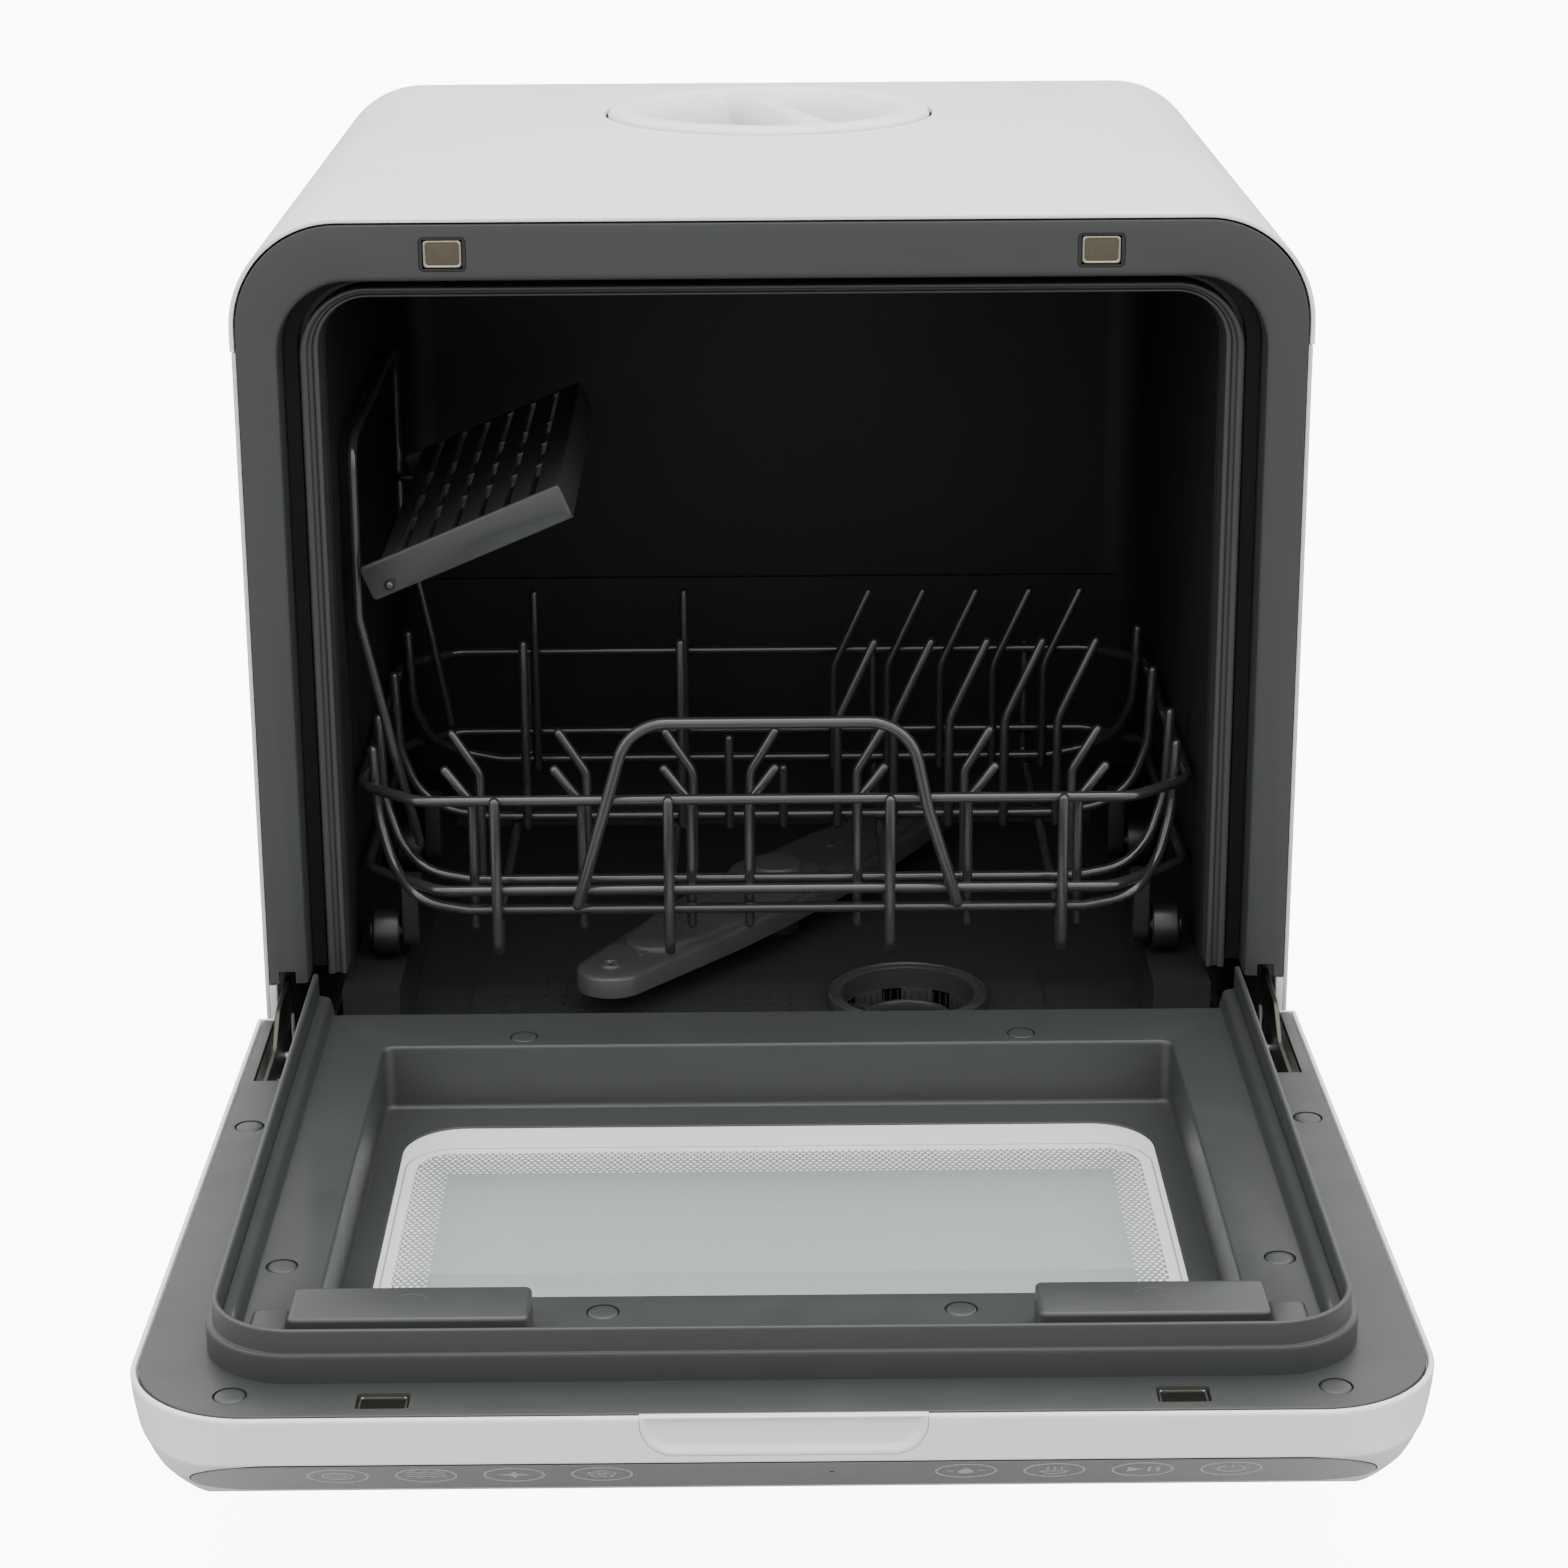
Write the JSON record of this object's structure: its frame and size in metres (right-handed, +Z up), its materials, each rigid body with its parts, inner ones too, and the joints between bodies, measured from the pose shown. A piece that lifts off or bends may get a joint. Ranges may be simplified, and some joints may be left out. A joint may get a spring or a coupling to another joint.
{
  "type": "countertop dishwasher",
  "caption": "Compact countertop dishwasher with a drop-down window door, wheeled wire rack, fold-up cup shelf, turning spray arm and top water filler cap.",
  "frame": {"origin": "centre of the overall footprint with the door open, on the worktop", "axes": "+Z up, +Y from the open door towards the back of the body, +X to the right of someone facing the door"},
  "size_m": [0.4274, 0.7484, 0.4381],
  "materials": {
    "white_casing": "satin white moulded plastic",
    "grey_panel": "satin mid grey moulded plastic",
    "tub_plastic": "dark grey moulded plastic, slightly glossy when wet",
    "grey_moulding": "mid grey moulded plastic",
    "wheel_plastic": "dark grey nylon",
    "coated_wire": "grey nylon coated steel wire",
    "black_rubber": "soft black rubber",
    "black_plastic": "black moulded plastic",
    "motor_shell": "dark painted steel",
    "impeller_plastic": "natural nylon",
    "nickel_plate": "nickel plated steel",
    "cap_plastic": "grey plug plastic",
    "black_steel": "black coated steel",
    "bare_steel": "zinc plated steel",
    "window_glass": "tempered glass with a printed border",
    "gloss_strip": "glossy grey touch strip",
    "circuit_board": "green circuit board",
    "tank_plastic": "translucent water tank plastic",
    "hose_rubber": "black rubber hose"
  },
  "bodies": {
    "root": {"base_pan": "black_plastic", "plinth": "white_casing", "feet": "black_rubber", "top_cover": "white_casing", "side_panel_left": "white_casing", "side_panel_right": "white_casing", "back_panel": "white_casing", "port_recess": "black_plastic", "front_frame": "grey_panel", "frame_gasket": "black_rubber", "door_magnets": "nickel_plate", "magnet_holders": "black_plastic", "tub": "tub_plastic", "ceiling_nozzle": "tub_plastic", "filter_plate": "tub_plastic", "sump": "tub_plastic", "spray_post": "tub_plastic", "water_tank": "tank_plastic", "pump_volute": "black_plastic", "pump_motor": "motor_shell", "drain_pump": "black_plastic", "water_heater": "bare_steel", "fill_hose": "hose_rubber", "drain_hose": "hose_rubber", "inlet_valve": "black_plastic", "drain_spigot": "black_plastic", "power_gland": "black_plastic", "power_board": "circuit_board", "hinge_brackets": "bare_steel", "hinge_pins": "bare_steel", "door_springs": "bare_steel"},
    "door": {"door_outer": "white_casing", "door_inner": "grey_panel", "outer_window": "window_glass", "inner_window": "window_glass", "window_gasket": "black_rubber", "control_panel": "gloss_strip", "touch_board": "circuit_board", "door_handle": "white_casing", "door_strikes": "nickel_plate", "door_screws": "bare_steel", "screw_caps": "cap_plastic", "hinge_arms": "black_steel"},
    "rack": {"rack_rims": "coated_wire", "rack_hoops": "coated_wire", "rack_runners": "coated_wire", "rack_tines": "coated_wire", "rack_handle": "coated_wire", "shelf_bracket": "coated_wire", "wheel_carriers": "grey_moulding"},
    "wheel_front_left": {"wheel_front_left": "wheel_plastic"},
    "wheel_front_right": {"wheel_front_right": "wheel_plastic"},
    "wheel_rear_left": {"wheel_rear_left": "wheel_plastic"},
    "wheel_rear_right": {"wheel_rear_right": "wheel_plastic"},
    "shelf": {"cup_shelf": "grey_moulding"},
    "spray_arm": {"spray_arm": "grey_moulding"},
    "filter": {"filter_cup": "grey_moulding"},
    "impeller": {"pump_impeller": "impeller_plastic"},
    "cap_lifter": {"cap_seal": "black_rubber"},
    "cap": {"fill_cap": "white_casing"}
  },
  "joints": [
    {"name": "door_hinge", "type": "hinge", "parent": "root", "child": "door", "pos_m": [0, -0.03425, 0.0961], "axis": [-1, 0, 0], "range_deg": [0, 90], "deforming": ["door_springs"]},
    {"name": "rack_slide", "type": "slide", "parent": "root", "child": "rack", "axis": [0, 1, 0], "range_m": [-0.25, 0]},
    {"name": "wheel_front_left_turn", "type": "hinge", "parent": "rack", "child": "wheel_front_left", "pos_m": [-0.163, 0.02725, 0.1274], "axis": [-1, 0, 0], "range_deg": [-1460, 20]},
    {"name": "wheel_front_right_turn", "type": "hinge", "parent": "rack", "child": "wheel_front_right", "pos_m": [0.163, 0.02725, 0.1274], "axis": [-1, 0, 0], "range_deg": [-1460, 20]},
    {"name": "wheel_rear_left_turn", "type": "hinge", "parent": "rack", "child": "wheel_rear_left", "pos_m": [-0.163, 0.13625, 0.1274], "axis": [-1, 0, 0], "range_deg": [-1460, 20]},
    {"name": "wheel_rear_right_turn", "type": "hinge", "parent": "rack", "child": "wheel_rear_right", "pos_m": [0.163, 0.13625, 0.1274], "axis": [-1, 0, 0], "range_deg": [-1460, 20]},
    {"name": "shelf_fold", "type": "hinge", "parent": "rack", "child": "shelf", "pos_m": [-0.156, 0.12225, 0.2796], "axis": [0, -1, 0], "range_deg": [0, 60]},
    {"name": "spray_arm_spin", "type": "hinge", "parent": "root", "child": "spray_arm", "pos_m": [0, 0.13525, 0.1126], "axis": [0, 0, 1], "continuous": true},
    {"name": "filter_twist", "type": "hinge", "parent": "root", "child": "filter", "pos_m": [0.056, 0.03925, 0.0926], "axis": [0, 0, 1], "range_deg": [0, 45]},
    {"name": "impeller_spin", "type": "hinge", "parent": "root", "child": "impeller", "pos_m": [0.028, 0.14725, 0.0466], "axis": [1, 0, 0], "continuous": true},
    {"name": "cap_lift", "type": "slide", "parent": "root", "child": "cap_lifter", "axis": [0, 0, 1], "range_m": [0, 0.06]},
    {"name": "cap_turn", "type": "hinge", "parent": "cap_lifter", "child": "cap", "pos_m": [0, 0.26975, 0.4326], "axis": [0, 0, 1], "range_deg": [0, 90]}
  ],
  "couplings": [
    {"joint": "wheel_front_left_turn", "follows": "rack_slide", "rad_per_m": 100},
    {"joint": "wheel_front_right_turn", "follows": "rack_slide", "rad_per_m": 100},
    {"joint": "wheel_rear_left_turn", "follows": "rack_slide", "rad_per_m": 100},
    {"joint": "wheel_rear_right_turn", "follows": "rack_slide", "rad_per_m": 100}
  ]
}
